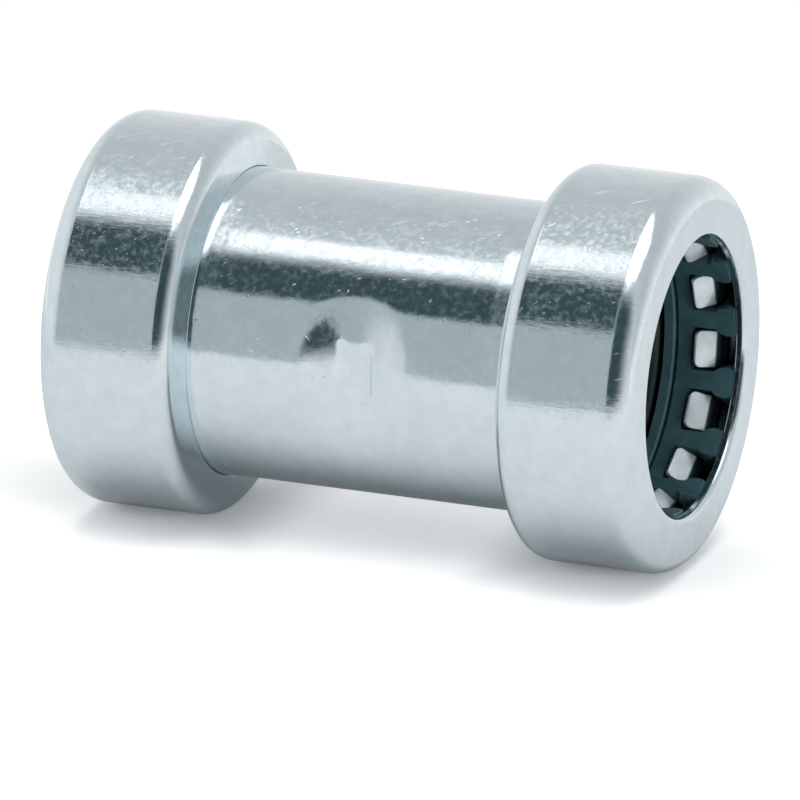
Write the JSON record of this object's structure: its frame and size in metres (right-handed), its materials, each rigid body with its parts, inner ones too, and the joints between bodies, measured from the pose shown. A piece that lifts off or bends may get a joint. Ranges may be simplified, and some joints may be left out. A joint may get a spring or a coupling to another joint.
{
  "type": "push-fit reducing connector",
  "caption": "Straight metal push-fit connector that joins two copper tubes of slightly different size, with a toothed grab ring and a seal behind the mouth of each end.",
  "frame": {"origin": "centre of the small end's mouth face, which the fitting stands on", "axes": "+Z along the common axis of the two tubes, out of the large end; the dents that stop the tubes face about -Y and +Y"},
  "size_m": [0.032, 0.032, 0.0508],
  "materials": {
    "plated_body": "satin nickel or chrome plating on a copper alloy body",
    "plated_cap": "satin nickel or chrome plating on a drawn brass cap",
    "black_plastic": "moulded acetal",
    "stainless_steel": "stamped spring steel",
    "dark_plastic": "moulded",
    "seal_rubber": "lubricated rubber"
  },
  "bodies": {
    "root": {"body": "plated_body", "large_end_cap": "plated_cap", "large_guide_ring": "black_plastic", "large_grab_ring": "stainless_steel", "large_backing_washer": "dark_plastic", "large_o_ring": "seal_rubber", "small_end_cap": "plated_cap", "small_guide_ring": "black_plastic", "small_grab_ring": "stainless_steel", "small_backing_washer": "dark_plastic", "small_o_ring": "seal_rubber"}
  },
  "joints": []
}
